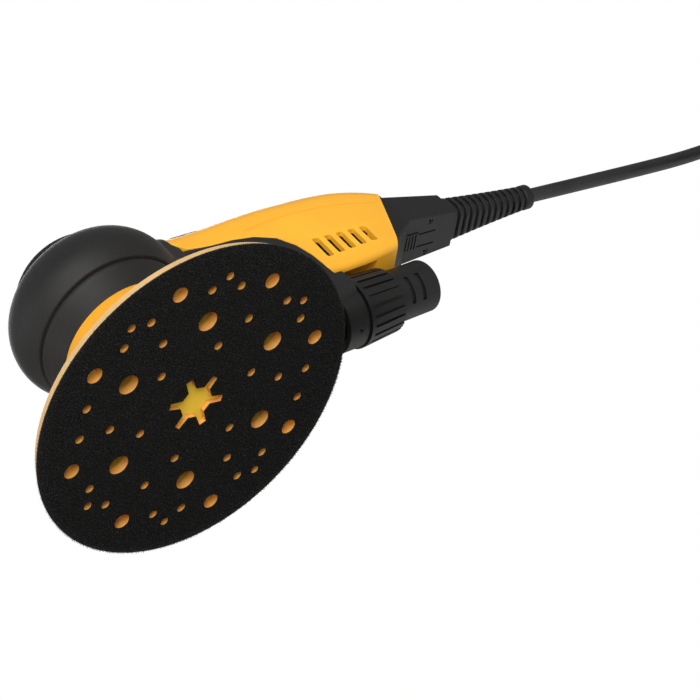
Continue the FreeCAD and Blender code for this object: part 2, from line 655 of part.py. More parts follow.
def make_connector():
    lean = math.tan(math.radians(REAR_RAKE))
    middle_z = (46.4 + 88.6) / 2
    middle_x = REAR_CORNER_X + lean * (middle_z - REAR_CORNER_Z)
    bezel = loft([
        section(middle_x - 5.0, 13.9, 46.9, 88.2, 9, 3, REAR_RAKE),
        section(middle_x + 0.2, 14.2, 46.4, 88.6, 9, 3, REAR_RAKE),
        section(PLUG_FRONT_X, 13.9, 58.4, 84.2, 2.5, 2.5),
    ], ruled=True)
    bezel = bezel.common(handle_body(SHELL_WALL + 0.05).fuse(behind_rake(0.05)))
    socket = box(147, 160, -9.6, 9.6, 62.5, 77)
    save("inlet_bezel", largest(bezel.cut(socket)))
    pins = [Part.makeCylinder(1.2, 8.6, Vector(147, y, 69.6), X_AXIS) for y in (-5, 0, 5)]
    save("inlet_pins", *pins)

    body = loft([
        section(PLUG_FRONT_X + 0.05, PLUG_FRONT_HALF_W, PLUG_BOTTOM_Z, PLUG_FRONT_TOP, 1.6, 1.0),
        section(PLUG_REAR_X, PLUG_REAR_HALF_W, PLUG_BOTTOM_Z - 0.3, PLUG_REAR_TOP, 1.6, 1.0),
    ], ruled=True)
    spigot = box(149, PLUG_FRONT_X + 1, -9.4, 9.4, 62.7, 76.8)
    body = body.fuse(spigot).cut(Part.makeCompound(
        [Part.makeCylinder(1.3, 8, Vector(148.5, y, 69.6), X_AXIS) for y in (-5, 0, 5)]))
    body = body.cut(box(LATCH_X - 4.4, LATCH_X + 4.4, LATCH_Y - 4.9, LATCH_Y + 4.9, 50, 64.0))
    for y in (LATCH_Y - 3.4, LATCH_Y + 3.4):
        body = body.cut(box(LATCH_X + 4, LATCH_X + 14.5, y - 0.4, y + 0.4, 50, PLUG_BOTTOM_Z + 0.9))
    for y in (-8.4, 8.4):
        body = body.cut(Part.makeCylinder(1.7, 3, Vector(172.1, y, 59.5)))
    save("cord_connector", largest(body))
    latch = box(LATCH_X - 4.1, LATCH_X + 4.1, LATCH_Y - 4.6, LATCH_Y + 4.6, 60.0, 62.2)
    for i in range(4):
        latch = latch.cut(box(LATCH_X - 3.2 + 1.8 * i, LATCH_X - 2.4 + 1.8 * i, LATCH_Y - 4, LATCH_Y + 4, 59, 60.5))
    save("latch_button", latch)
    screw = socket_screw(1.65, 1.4, 0.8, 1.7)
    save("connector_screws", *[place(screw, Vector(172.1, y, 60.7), Vector(0, 0, -1)) for y in (-8.4, 8.4)])


def relief_section(x, inset):
    """The strain relief's section at x: a soft rectangle at the connector, round at the cord."""
    t = (x - PLUG_REAR_X) / (RELIEF_END_X - 3.5 - PLUG_REAR_X)
    half_w = 9.8 + (5.8 - 9.8) * t - inset
    half_h = 7.2 + (5.8 - 7.2) * t - inset
    middle = 68.1 + (CORD_ROUTE[0][2] - 68.1) * t
    corner = min(half_h, half_w) - 0.05 - 2.6 * (1 - t) * (1 - t)
    return section(x, half_w, middle - half_h, middle + half_h, corner, corner)


def make_relief():
    pieces = [loft([relief_section(PLUG_REAR_X, 2.0), relief_section(RELIEF_END_X - 3.5, 1.5)], ruled=True)]
    pitch = (RELIEF_END_X - 5.0 - PLUG_REAR_X) / RELIEF_RIBS
    for i in range(RELIEF_RIBS):
        x = PLUG_REAR_X + 0.2 + pitch * i
        pieces.append(loft([relief_section(x, 0.0), relief_section(x + pitch * 0.55, 0.0)], ruled=True))
    end = Part.makeCylinder(6.0, 5.0, Vector(RELIEF_END_X - 5.0, 0, CORD_ROUTE[0][2]), X_AXIS)
    end = end.makeFillet(1.0, [e for e in end.Edges if e.BoundBox.XLength < 0.1])
    pieces.append(end)
    relief = pieces[0].fuse(pieces[1:])
    save("strain_relief", largest(relief.removeSplitter()))


# ---- cord ---------------------------------------------------------------------------------------

def tangent_arc_path(points):
    """A wire of straight runs joined by tangent arcs, with the arcs' radii."""
    points = [Vector(*p) for p in points]
    edges, radii = [], []
    start = points[0]
    for before, corner, after in zip(points, points[1:], points[2:]):
        into = (corner - before).normalize()
        out = (after - corner).normalize()
        shorter = min((corner - before).Length, (after - corner).Length)
        turn = into.getAngle(out)
        reach = 0.45 * shorter
        radii.append(reach / math.tan(turn / 2))
        first = corner - into * reach
        last = corner + out * reach
        inward = (out - into).normalize()
        centre = corner + inward * (radii[-1] / math.cos(turn / 2))
        middle = centre - inward * radii[-1]
        edges.append(Part.makeLine(start, first))
        edges.append(Part.Arc(first, middle, last).toShape())
        start = last
    edges.append(Part.makeLine(start, points[-1]))
    return Part.Wire(edges), radii


def tube_along(points, radius):
    path, radii = tangent_arc_path(points)
    start = Vector(*points[0])
    heading = (Vector(*points[1]) - start).normalize()
    profile = Part.Wire(Part.makeCircle(radius, start, heading))
    tube = path.makePipeShell([profile], True, False)
    print("arc radii", [round(r) for r in radii], "length", round(path.Length, 1))
    print("volume ratio", round(tube.Volume / (math.pi * radius ** 2 * path.Length), 4))
    return tube, path.Length


def make_cord():
    main, main_length = tube_along(CORD_ROUTE, CORD_R)
    save("mains_cord", main)
    start, end = Vector(*TAIL_ROUTE[0]), Vector(*TAIL_ROUTE[1])
    tail = Part.makeCylinder(CORD_R, (end - start).Length, start, end - start)
    save("mains_cord_tail", tail)
    coil_length = CORD_LENGTH - main_length - (end - start).Length
    print("coil holds", round(coil_length), "turns", round(coil_length / (2 * math.pi * COIL_MEAN_R), 2))

    half = COIL_WIDTH / 2
    corner = 5.0
    outline = Part.makePolygon([Vector(x, 0, z) for x, z in (
        (COIL_MEAN_R - half + corner, 0.05), (COIL_MEAN_R + half - corner, 0.05), (COIL_MEAN_R + half, corner),
        (COIL_MEAN_R + half, COIL_HEIGHT - corner), (COIL_MEAN_R + half - corner, COIL_HEIGHT),
        (COIL_MEAN_R - half + corner, COIL_HEIGHT), (COIL_MEAN_R - half, COIL_HEIGHT - corner),
        (COIL_MEAN_R - half, corner), (COIL_MEAN_R - half + corner, 0.05))])
    coil = Part.Face(outline).revolve(ORIGIN, Z_AXIS, 360)
    save("cord_coil", coil.translated(COIL_CENTRE))

    tie = box(COIL_MEAN_R - half - 1.4, COIL_MEAN_R + half + 1.4, -6, 6, 0.05, COIL_HEIGHT + 1.6)
    tie = tie.cut(box(COIL_MEAN_R - half + 0.2, COIL_MEAN_R + half - 0.2, -7, 7, -1, COIL_HEIGHT))
    tie = tie.cut(coil)
    tie.rotate(ORIGIN, Z_AXIS, TIE_ANGLE)
    save("cord_tie", largest(tie.translated(COIL_CENTRE)))


def make_mains_plug():
    start = Vector(*TAIL_ROUTE[1])
    y = start.y

    def across(distance, half_w, half_h, corner):
        wire = section(0, half_w, -half_h, half_h, corner, corner)
        wire.rotate(ORIGIN, Z_AXIS, -90)
        wire.translate(Vector(start.x, y - distance, start.z))
        return wire

    body = loft([across(0, 5.2, 5.2, 4.6), across(14, 6.6, 6.2, 5.2), across(22, 14.5, 9.5, 7.0),
                 across(30, 17.2, 12.2, 9.0), across(42, 17.6, 12.6, 9.4)], ruled=True)
    save("mains_plug", body)
    roots = [Vector(start.x + x, y - 42, start.z) for x in (-9.5, 9.5)]
    pins = [Part.makeCylinder(2.4, 19, root, Vector(0, -1, 0)) for root in roots]
    pins = [pin.makeFillet(0.9, [e for e in pin.Edges if e.BoundBox.YMax < y - 60.9]) for pin in pins]
    save("mains_plug_pins", *pins)


def main():
    os.makedirs("parts", exist_ok=True)
    make_pad()
    make_spindle()
    make_motor()
    make_head()
    make_handle()
    make_lever()
    make_keys()
    make_electronics()
    make_exhaust()
    make_connector()
    make_relief()
    make_cord()
    make_mains_plug()


main()
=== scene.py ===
import json
import math
import random

import bmesh
import bpy
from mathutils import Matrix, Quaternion, Vector

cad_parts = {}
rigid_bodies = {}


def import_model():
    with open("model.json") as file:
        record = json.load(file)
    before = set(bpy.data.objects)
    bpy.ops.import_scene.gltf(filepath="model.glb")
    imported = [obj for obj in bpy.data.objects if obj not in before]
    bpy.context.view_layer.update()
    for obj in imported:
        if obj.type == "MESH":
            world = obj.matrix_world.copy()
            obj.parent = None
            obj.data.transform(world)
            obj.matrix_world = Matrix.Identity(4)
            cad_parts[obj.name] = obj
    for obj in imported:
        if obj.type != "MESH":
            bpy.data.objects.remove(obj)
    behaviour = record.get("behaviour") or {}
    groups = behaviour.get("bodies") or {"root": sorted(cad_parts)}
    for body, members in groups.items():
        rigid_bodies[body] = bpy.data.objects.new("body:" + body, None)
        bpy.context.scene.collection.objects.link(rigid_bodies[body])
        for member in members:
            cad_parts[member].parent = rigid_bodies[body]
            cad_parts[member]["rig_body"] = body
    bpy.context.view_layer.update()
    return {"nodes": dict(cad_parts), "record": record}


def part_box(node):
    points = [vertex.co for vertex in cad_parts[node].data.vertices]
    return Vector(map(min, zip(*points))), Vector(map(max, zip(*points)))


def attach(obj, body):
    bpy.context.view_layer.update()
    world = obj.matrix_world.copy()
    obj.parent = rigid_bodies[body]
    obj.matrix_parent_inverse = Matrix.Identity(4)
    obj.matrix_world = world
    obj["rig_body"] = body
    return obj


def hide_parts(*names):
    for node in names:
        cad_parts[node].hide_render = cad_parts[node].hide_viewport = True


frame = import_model()

# A random orbital sander, seen from below, with its mains cord.  Metres throughout, in the CAD's frame:
# +Z up along the motor spindle, +X along the handle to the cord, the grip face in the plane z = 0.

MM = 0.001
NODES = frame["nodes"]
SLOTS = {part["node"]: part["material_slot"] for part in frame["record"]["subparts"]}

PAD_LOW, PAD_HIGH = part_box("grip_face")
PAD_CENTRE = Vector(((PAD_LOW.x + PAD_HIGH.x) / 2, (PAD_LOW.y + PAD_HIGH.y) / 2, 0))
PAD_R = (PAD_HIGH.x - PAD_LOW.x) / 2


def ramp(value, start, length):
    """0 up to start, then rising to 1 over length."""
    return min(max((value - start) / length, 0), 1)


# ---- camera, light and floor --------------------------------------------------------------------

# The camera stands at this azimuth and elevation (degrees) and distance from the pad's centre.
CAMERA_AZIMUTH = -129.6
CAMERA_ELEVATION = -38.63
CAMERA_DISTANCE = 0.9428
CAMERA_AIM = Vector((0.0803, -0.0037, 0.0))
CAMERA_ROLL = 48.12
CAMERA_LENS = 118.8

LIGHT_AIM = Vector((0.06, 0, 0.04))
WORLD_LIGHT = 0.3
BACKDROP = 1.0
FLOOR_HALF = 3.0
FLOOR_DROP = 0.0003


def link(piece):
    bpy.context.scene.collection.objects.link(piece)
    return piece


def on_sphere(azimuth, elevation, distance):
    a, e = math.radians(azimuth), math.radians(elevation)
    return Vector((math.cos(e) * math.cos(a), math.cos(e) * math.sin(a), math.sin(e))) * distance


def add_camera():
    data = bpy.data.cameras.new("camera")
    data.sensor_width = 36
    data.lens = CAMERA_LENS
    data.clip_start = 0.02
    data.clip_end = 50
    camera = link(bpy.data.objects.new("camera", data))
    camera.location = PAD_CENTRE + on_sphere(CAMERA_AZIMUTH, CAMERA_ELEVATION, CAMERA_DISTANCE)
    facing = (CAMERA_AIM - camera.location).to_track_quat("-Z", "Y")
    camera.rotation_mode = "QUATERNION"
    camera.rotation_quaternion = facing @ Quaternion((0, 0, 1), -math.radians(CAMERA_ROLL))
    bpy.context.scene.camera = camera


def add_light(name, azimuth, elevation, distance, size, power):
    data = bpy.data.lights.new(name, "AREA")
    data.shape = "SQUARE"
    data.size = size
    data.energy = power
    lamp = link(bpy.data.objects.new(name, data))
    lamp.location = LIGHT_AIM + on_sphere(azimuth, elevation, distance)
    lamp.rotation_mode = "QUATERNION"
    lamp.rotation_quaternion = (LIGHT_AIM - lamp.location).to_track_quat("-Z", "Y")
    lamp.visible_camera = False


def add_lights():
    add_light("key_side", -118, -16, 1.2, 0.9, 15)
    add_light("fill_above", 60, 50, 1.4, 1.0, 12)
    add_light("soft_below", -130, -42, 1.3, 0.8, 3.2)
    add_light("rim_behind", 170, 20, 1.2, 0.6, 2.2)


def add_world():
    """An even white studio: bright as a backdrop, dimmer as a source of light."""
    world = bpy.data.worlds.new("studio")
    world.use_nodes = True
    nodes, links = world.node_tree.nodes, world.node_tree.links
    background = nodes["Background"]
    background.inputs["Color"].default_value = (1, 1, 1, 1)
    ray = nodes.new("ShaderNodeLightPath")
    level = nodes.new("ShaderNodeMapRange")
    level.inputs["To Min"].default_value = WORLD_LIGHT
    level.inputs["To Max"].default_value = BACKDROP
    links.new(ray.outputs["Is Camera Ray"], level.inputs["Value"])
    links.new(level.outputs["Result"], background.inputs["Strength"])
    bpy.context.scene.world = world


def floor_material():
    """A pale floor that is seen and lit from above only, so nothing below it is shut off from view."""
    material = bpy.data.materials.new("pale_floor")
    material.use_nodes = True
    nodes, links = material.node_tree.nodes, material.node_tree.links
    shader = nodes["Principled BSDF"]
    shader.inputs["Roughness"].default_value = 0.75
    place = nodes.new("ShaderNodeTexCoord")
    cloud = nodes.new("ShaderNodeTexNoise")
    cloud.inputs["Scale"].default_value = 3.0
    links.new(place.outputs["Object"], cloud.inputs["Vector"])
    tint = nodes.new("ShaderNodeMix")
    tint.data_type = "RGBA"
    tint.inputs["A"].default_value = (0.93, 0.93, 0.93, 1)
    tint.inputs["B"].default_value = (0.97, 0.97, 0.97, 1)
    links.new(cloud.outputs["Fac"], tint.inputs["Factor"])
    links.new(tint.outputs["Result"], shader.inputs["Base Color"])
    clear = nodes.new("ShaderNodeBsdfTransparent")
    side = nodes.new("ShaderNodeNewGeometry")
    ray = nodes.new("ShaderNodeLightPath")
    either = nodes.new("ShaderNodeMath")
    either.operation = "MAXIMUM"
    links.new(side.outputs["Backfacing"], either.inputs[0])
    links.new(ray.outputs["Is Shadow Ray"], either.inputs[1])
    choose = nodes.new("ShaderNodeMixShader")
    links.new(either.outputs[0], choose.inputs["Fac"])
    links.new(shader.outputs["BSDF"], choose.inputs[1])
    links.new(clear.outputs["BSDF"], choose.inputs[2])
    links.new(choose.outputs["Shader"], nodes["Material Output"].inputs["Surface"])
    return material


def add_floor():
    half = FLOOR_HALF
    mesh = bpy.data.meshes.new("floor")
    corners = [(-half, -half), (half, -half), (half, half), (-half, half)]
    mesh.from_pydata([(x, y, -FLOOR_DROP) for x, y in corners], [], [(0, 1, 2, 3)])
    mesh.materials.append(floor_material())
    link(bpy.data.objects.new("floor", mesh))


# ---- material helpers ---------------------------------------------------------------------------

class Finish:
    """A Principled material in object space, in metres, with small tools to build on."""

    def __init__(self, name, roughness=0.5, metallic=0.0, specular=0.5):
        self.material = bpy.data.materials.new(name)
        self.material.use_nodes = True
        tree = self.material.node_tree
        self.nodes, self.links = tree.nodes, tree.links
        self.shader = self.nodes["Principled BSDF"]
        self.set("Roughness", roughness)
        self.set("Metallic", metallic)
        self.set("Specular IOR Level", specular)
        self.place = self.nodes.new("ShaderNodeTexCoord").outputs["Object"]
        self.bumps = None

    def set(self, socket, value):
        self.shader.inputs[socket].default_value = value

    def noise(self, scale, detail=2.0, roughness=0.5, stretch=None):
        texture = self.nodes.new("ShaderNodeTexNoise")
        texture.inputs["Scale"].default_value = scale
        texture.inputs["Detail"].default_value = detail
        texture.inputs["Roughness"].default_value = roughness
        where = self.place
        if stretch:
            mapping = self.nodes.new("ShaderNodeMapping")
            mapping.inputs["Scale"].default_value = stretch
            self.links.new(where, mapping.inputs["Vector"])
            where = mapping.outputs["Vector"]
        self.links.new(where, texture.inputs["Vector"])
        return texture.outputs["Fac"]

    def cells(self, scale, feature="F1"):
        texture = self.nodes.new("ShaderNodeTexVoronoi")
        texture.feature = feature
        texture.inputs["Scale"].default_value = scale
        self.links.new(self.place, texture.inputs["Vector"])
        return texture.outputs["Distance"]

    def remap(self, value, low, high, to_low=0.0, to_high=1.0):
        node = self.nodes.new("ShaderNodeMapRange")
        ends = {"From Min": low, "From Max": high, "To Min": to_low, "To Max": to_high}
        for socket, number in ends.items():
            node.inputs[socket].default_value = number
        self.links.new(value, node.inputs["Value"])
        return node.outputs["Result"]

    def blend(self, factor, first, second):
        node = self.nodes.new("ShaderNodeMix")
        node.data_type = "RGBA"
        for socket, colour in (("A", first), ("B", second)):
            if isinstance(colour, tuple):
                node.inputs[socket].default_value = (*colour, 1)
            else:
                self.links.new(colour, node.inputs[socket])
        self.links.new(factor, node.inputs["Factor"])
        return node.outputs["Result"]

    def colour(self, value):
        self.links.new(value, self.shader.inputs["Base Color"])

    def gloss(self, value):
        self.links.new(value, self.shader.inputs["Roughness"])

    def bump(self, height, strength, distance):
        node = self.nodes.new("ShaderNodeBump")
        node.inputs["Strength"].default_value = strength
        node.inputs["Distance"].default_value = distance
        self.links.new(height, node.inputs["Height"])
        if self.bumps:
            self.links.new(self.bumps, node.inputs["Normal"])
        self.bumps = node.outputs["Normal"]
        self.links.new(self.bumps, self.shader.inputs["Normal"])

    def from_axis(self, centre, near, far):
        """0 within near of the upright line through centre, 1 beyond far."""
        shift = self.nodes.new("ShaderNodeMapping")
        shift.inputs["Location"].default_value = -centre
        shift.inputs["Scale"].default_value = (1, 1, 0)
        self.links.new(self.place, shift.inputs["Vector"])
        length = self.nodes.new("ShaderNodeVectorMath")
        length.operation = "LENGTH"
        self.links.new(shift.outputs["Vector"], length.inputs[0])
        return self.remap(length.outputs["Value"], near, far)

    def edge_wear(self):
        """1 on outside edges, 0 elsewhere."""
        geometry = self.nodes.new("ShaderNodeNewGeometry")
        return self.remap(geometry.outputs["Pointiness"], 0.53, 0.62)


def scaled(colour, factor):
    return tuple(min(1.0, channel * factor) for channel in colour)


def moulded(name, colour, roughness=0.45, grain=2600, depth=0.02, drift=0.06, specular=0.4, wear=0.0):
    """Moulded plastic: spark-eroded grain, a slow drift of colour, uneven gloss, edges rubbed a little."""
    finish = Finish(name, roughness, specular=specular)
    cloud = finish.noise(28, 4)
    body = finish.blend(finish.remap(cloud, 0.3, 0.7), scaled(colour, 1 - drift), scaled(colour, 1 + drift))
    specks = finish.remap(finish.noise(1500, 2), 0.35, 0.65)
    body = finish.blend(specks, body, finish.blend(cloud, scaled(colour, 0.97), scaled(colour, 1.03)))
    if wear:
        rubbed = finish.remap(finish.edge_wear(), 0, 1, 0, wear)
        body = finish.blend(rubbed, body, scaled(colour, 1.9))
    finish.colour(body)
    finish.gloss(finish.remap(finish.noise(60, 5, 0.6), 0.3, 0.7, roughness - 0.06, roughness + 0.06))
    finish.bump(finish.noise(grain, 3, 0.6), 0.35, depth * MM)
    return finish.material


def rubber(name, colour, roughness=0.62, depth=0.03):
    """Soft moulded rubber: matt, with a fine skin grain, dust in it and faint rub marks."""
    finish = Finish(name, roughness, specular=0.3)
    dust = finish.remap(finish.noise(900, 3), 0.45, 0.8)
    cloud = finish.remap(finish.noise(22, 4), 0.3, 0.7)
    body = finish.blend(cloud, scaled(colour, 0.88), scaled(colour, 1.12))
    finish.colour(finish.blend(finish.remap(dust, 0, 1, 0, 0.3), body, scaled(colour, 1.7)))
    finish.gloss(finish.remap(finish.noise(45, 5, 0.65), 0.3, 0.7, roughness - 0.08, roughness + 0.07))
    finish.bump(finish.noise(2100, 3, 0.65), 0.4, depth * MM)
    finish.set("Sheen Weight", 0.03)
    finish.set("Sheen Roughness", 0.5)
    return finish.material


def metal(name, colour, roughness=0.32, brushed=(1, 1, 30), depth=0.01):
    """Worked metal with fine drawn lines, handling marks and slight tarnish."""
    finish = Finish(name, roughness, metallic=1.0)
    tarnish = finish.remap(finish.noise(120, 4), 0.35, 0.75)
    finish.colour(finish.blend(tarnish, colour, scaled(colour, 0.78)))
    lines = finish.noise(900, 3, 0.6, stretch=brushed)
    finish.gloss(finish.remap(lines, 0.25, 0.75, roughness - 0.1, roughness + 0.12))
    finish.bump(lines, 0.3, depth * MM)
    return finish.material


# ---- materials ----------------------------------------------------------------------------------

YELLOW = (0.93, 0.445, 0.028)
SHROUD_YELLOW = (0.95, 0.42, 0.025)
PAD_YELLOW = (0.96, 0.74, 0.1)
# The foam inside the rim is painted a deeper orange than its own colour, as painted bounce light in the
# pad's holes; the rim keeps a paler colour.
FOAM_WITH_BOUNCE = (0.95, 0.47, 0.1)
FOAM_RIM = (0.68, 0.44, 0.2)
BLACK = (0.006, 0.006, 0.0059)
SOFT_BLACK = (0.01, 0.01, 0.0098)
HOOK_BLACK = (0.02, 0.0195, 0.0185)
LINT = (0.09, 0.09, 0.088)
CORD_DARK = (0.009, 0.009, 0.009)
CORD_PALE = (0.016, 0.016, 0.016)
CORD_SCUFF = (0.04, 0.04, 0.039)
STEEL = (0.55, 0.55, 0.56)
ALUMINIUM = (0.68, 0.68, 0.7)

# How far in from the pad's edge the foam's pale rim colour begins, and ends; further in, the foam is
# painted a deeper orange, as painted bounce light in its holes.
PALE_RIM_FROM = 3.4 * MM
PALE_RIM_TO = 2.6 * MM


def foam_material():
    """Cellular polyurethane: tiny open cells and light that soaks in; paler foam at the rim, and a deeper
    orange further in, painted as bounce light in the holes.
    """
    finish = Finish("pad_foam", 0.85, specular=0.25)
    pores = finish.remap(finish.cells(2600), 0.05, 0.5)
    body = finish.blend(pores, scaled(FOAM_WITH_BOUNCE, 0.8), FOAM_WITH_BOUNCE)
    cloud = finish.remap(finish.noise(90, 4), 0.3, 0.7)
    # Painted bounce light: away from the rim the foam is a deeper orange than its own colour.
    inside_with_bounce = finish.blend(cloud, body, finish.blend(pores, scaled(FOAM_WITH_BOUNCE, 0.92), scaled(FOAM_WITH_BOUNCE, 1.08)))
    skin = finish.blend(cloud, scaled(FOAM_RIM, 0.94), scaled(FOAM_RIM, 1.05))
    outside = finish.from_axis(PAD_CENTRE, PAD_R - PALE_RIM_FROM, PAD_R - PALE_RIM_TO)
    finish.colour(finish.blend(outside, inside_with_bounce, skin))
    finish.bump(pores, 0.5, 0.06 * MM)
    finish.bump(finish.noise(700, 4), 0.3, 0.05 * MM)
    finish.set("Subsurface Weight", 0.15)
    finish.set("Subsurface Scale", 0.002)
    return finish.material


def hook_material():
    """Black nylon hooks: matt pile with a random speckle of lighter and darker pile, painted as glints and
    shade among the hooks, and a scatter of pale lint.
    """
    finish = Finish("hook_pile", 0.72, specular=0.35)
    # Painted glints and shade: the pile's black is speckled from a quarter to 2.6 times as bright.
    glint_speckle = finish.remap(finish.noise(700, 4, 0.75), 0.42, 0.62)
    body = finish.blend(glint_speckle, scaled(HOOK_BLACK, 0.25), scaled(HOOK_BLACK, 2.6))
    lint = finish.remap(finish.noise(420, 5, 0.75), 0.66, 0.74)
    finish.colour(finish.blend(finish.remap(lint, 0, 1, 0, 0.35), body, LINT))
    finish.bump(finish.cells(1500), 0.5, 0.08 * MM)
    finish.set("Sheen Weight", 0.12)
    finish.set("Sheen Roughness", 0.6)
    return finish.material


def backing_material():
    """The woven base that the hooks stand on."""
    finish = Finish("hook_backing", 0.85, specular=0.25)
    threads = finish.cells(1400)
    body = finish.blend(finish.remap(threads, 0.1, 0.6), scaled(HOOK_BLACK, 1.5), scaled(HOOK_BLACK, 0.5))
    finish.colour(body)
    finish.bump(threads, 0.7, 0.12 * MM)
    return finish.material


def cord_material():
    """Rubber mains sheath: satin, with fine drawn lines along it and the odd scuff."""
    finish = Finish("cord_sheath", 0.42, specular=0.5)
    cloud = finish.remap(finish.noise(60, 4), 0.3, 0.7)
    scuff = finish.remap(finish.noise(260, 5, 0.7), 0.6, 0.75)
    body = finish.blend(cloud, CORD_DARK, CORD_PALE)
    finish.colour(finish.blend(finish.remap(scuff, 0, 1, 0, 0.5), body, CORD_SCUFF))
    finish.gloss(finish.remap(finish.noise(150, 4), 0.3, 0.7, 0.34, 0.52))
    finish.bump(finish.noise(900, 4, 0.6), 0.35, 0.05 * MM)
    return finish.material


def lens_material():
    """Clear green plastic over the status light."""
    finish = Finish("status_lens", 0.18)
    swirl = finish.remap(finish.noise(500, 3), 0.3, 0.7)
    finish.colour(finish.blend(swirl, (0.08, 0.5, 0.12), (0.14, 0.68, 0.2)))
    finish.bump(finish.noise(1500, 2), 0.1, 0.02 * MM)
    finish.set("Transmission Weight", 0.3)
    return finish.material


def make_materials():
    """One finish for each material slot of the record."""
    return {
        "yellow_shell": moulded("yellow_shell", YELLOW, 0.4, grain=2300, depth=0.012, drift=0.015,
                                wear=0.12),
        "yellow_shroud": moulded("yellow_shroud", SHROUD_YELLOW, 0.45, grain=2000, depth=0.015,
                                 drift=0.02),
        "yellow_pad": moulded("yellow_pad", PAD_YELLOW, 0.36, grain=1700, depth=0.015, drift=0.03),
        "boot_rubber": rubber("boot_rubber", SOFT_BLACK, 0.56, depth=0.02),
        "cap_rubber": rubber("cap_rubber", scaled(SOFT_BLACK, 0.55), 0.6),
        "seal_rubber": rubber("seal_rubber", BLACK, 0.6),
        "relief_rubber": rubber("relief_rubber", scaled(SOFT_BLACK, 0.8), 0.5),
        "tie_rubber": rubber("tie_rubber", BLACK, 0.7, depth=0.05),
        "black_base": moulded("black_base", scaled(SOFT_BLACK, 1.05), 0.5, grain=1900, depth=0.03,
                              wear=0.1),
        "port_plastic": moulded("port_plastic", BLACK, 0.46, grain=1700, depth=0.03, wear=0.15),
        "collar_plastic": moulded("collar_plastic", BLACK, 0.42, grain=1700, depth=0.03, wear=0.18),
        "adapter_plastic": moulded("adapter_plastic", BLACK, 0.5, grain=1500, depth=0.04, wear=0.15),
        "bezel_plastic": moulded("bezel_plastic", BLACK, 0.5, grain=1700, depth=0.04),
        "connector_plastic": moulded("connector_plastic", scaled(BLACK, 1.05), 0.48, grain=1500, depth=0.04,
                                     wear=0.15),
        "latch_plastic": moulded("latch_plastic", scaled(BLACK, 0.7), 0.45),
        "lever_plastic": moulded("lever_plastic", BLACK, 0.5, grain=1300, depth=0.05, wear=0.2),
        "panel_plastic": moulded("panel_plastic", scaled(BLACK, 0.8), 0.3, depth=0.008),
        "power_key": moulded("power_key", (0.045, 0.045, 0.045), 0.5),
        "speed_key": moulded("speed_key", (0.09, 0.09, 0.09), 0.5),
        "lens_plastic": lens_material(),
        "plug_plastic": moulded("plug_plastic", BLACK, 0.5, grain=1500, depth=0.04, wear=0.15),
        "switch_plastic": moulded("switch_plastic", BLACK, 0.5),
        "component_plastic": moulded("component_plastic", (0.035, 0.035, 0.05), 0.4),
        "board_laminate": moulded("board_laminate", (0.02, 0.16, 0.05), 0.3),
        "foam": foam_material(),
        "hook_face": hook_material(),
        "cord_sheath": cord_material(),
        "shaft_steel": metal("shaft_steel", STEEL, 0.28, brushed=(1, 1, 12)),
        "pin_steel": metal("pin_steel", STEEL, 0.25, brushed=(1, 12, 1)),
        "screw_steel": metal("screw_steel", (0.42, 0.42, 0.43), 0.34),
        "dark_screw": metal("dark_screw", (0.07, 0.07, 0.07), 0.38),
        "bearing_steel": metal("bearing_steel", (0.62, 0.62, 0.64), 0.2),
        "weight_steel": metal("weight_steel", (0.25, 0.25, 0.25), 0.5),
        "spring_steel": metal("spring_steel", (0.5, 0.5, 0.5), 0.3),
        "lamination_steel": metal("lamination_steel", (0.32, 0.32, 0.34), 0.42, brushed=(1, 1, 60)),
        "magnet_metal": metal("magnet_metal", (0.3, 0.3, 0.32), 0.35),
        "motor_aluminium": metal("motor_aluminium", ALUMINIUM, 0.4),
        "fan_aluminium": metal("fan_aluminium", ALUMINIUM, 0.45),
        "winding_copper": metal("winding_copper", (0.7, 0.3, 0.14), 0.35, brushed=(1, 1, 50)),
        "contact_brass": metal("contact_brass", (0.75, 0.53, 0.24), 0.28),
        "plug_brass": metal("plug_brass", (0.72, 0.68, 0.58), 0.22, brushed=(1, 20, 1)),
    }


# ---- piece helpers ------------------------------------------------------------------------------

WELD_WITHIN = 0.002 * MM
GOES_ACROSS = 0.3
ROOM_USED = 0.42


def mesh_piece(name, points, faces, material, smooth=True):
    mesh = bpy.data.meshes.new(name)
    mesh.from_pydata(points, [], faces)
    mesh.materials.append(material)
    if smooth:
        mesh.shade_smooth()
    return link(bpy.data.objects.new(name, mesh))


def stands_for(piece, *nodes):
    """The piece rides where these CAD nodes ride, and takes their place."""
    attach(piece, NODES[nodes[0]]["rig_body"])
    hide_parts(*nodes)
    return piece


def welded(node):
    """The node's shape with its split corners joined; the caller frees it."""
    shape = bmesh.new()
    shape.from_mesh(NODES[node].data)
    bmesh.ops.remove_doubles(shape, verts=shape.verts, dist=WELD_WITHIN)
    shape.verts.index_update()
    return shape


def as_piece(name, shape, material, smooth=True):
    """Makes a piece of a welded shape, and frees the shape."""
    points = [vert.co.copy() for vert in shape.verts]
    faces = [[vert.index for vert in face.verts] for face in shape.faces]
    shape.free()
    return mesh_piece(name, points, faces, material, smooth)


def room_beside(edge, width):
    """What share of width an edge can be rounded by before it meets its neighbours."""
    along = (edge.verts[1].co - edge.verts[0].co).normalized()
    room = width
    for vert in edge.verts:
        for other in vert.link_edges:
            if other is edge:
                continue
            heading = other.other_vert(vert).co - vert.co
            across = (heading - along * heading.dot(along)).length
            if across > GOES_ACROSS * heading.length:
                room = min(room, ROOM_USED * across)
    return room / width


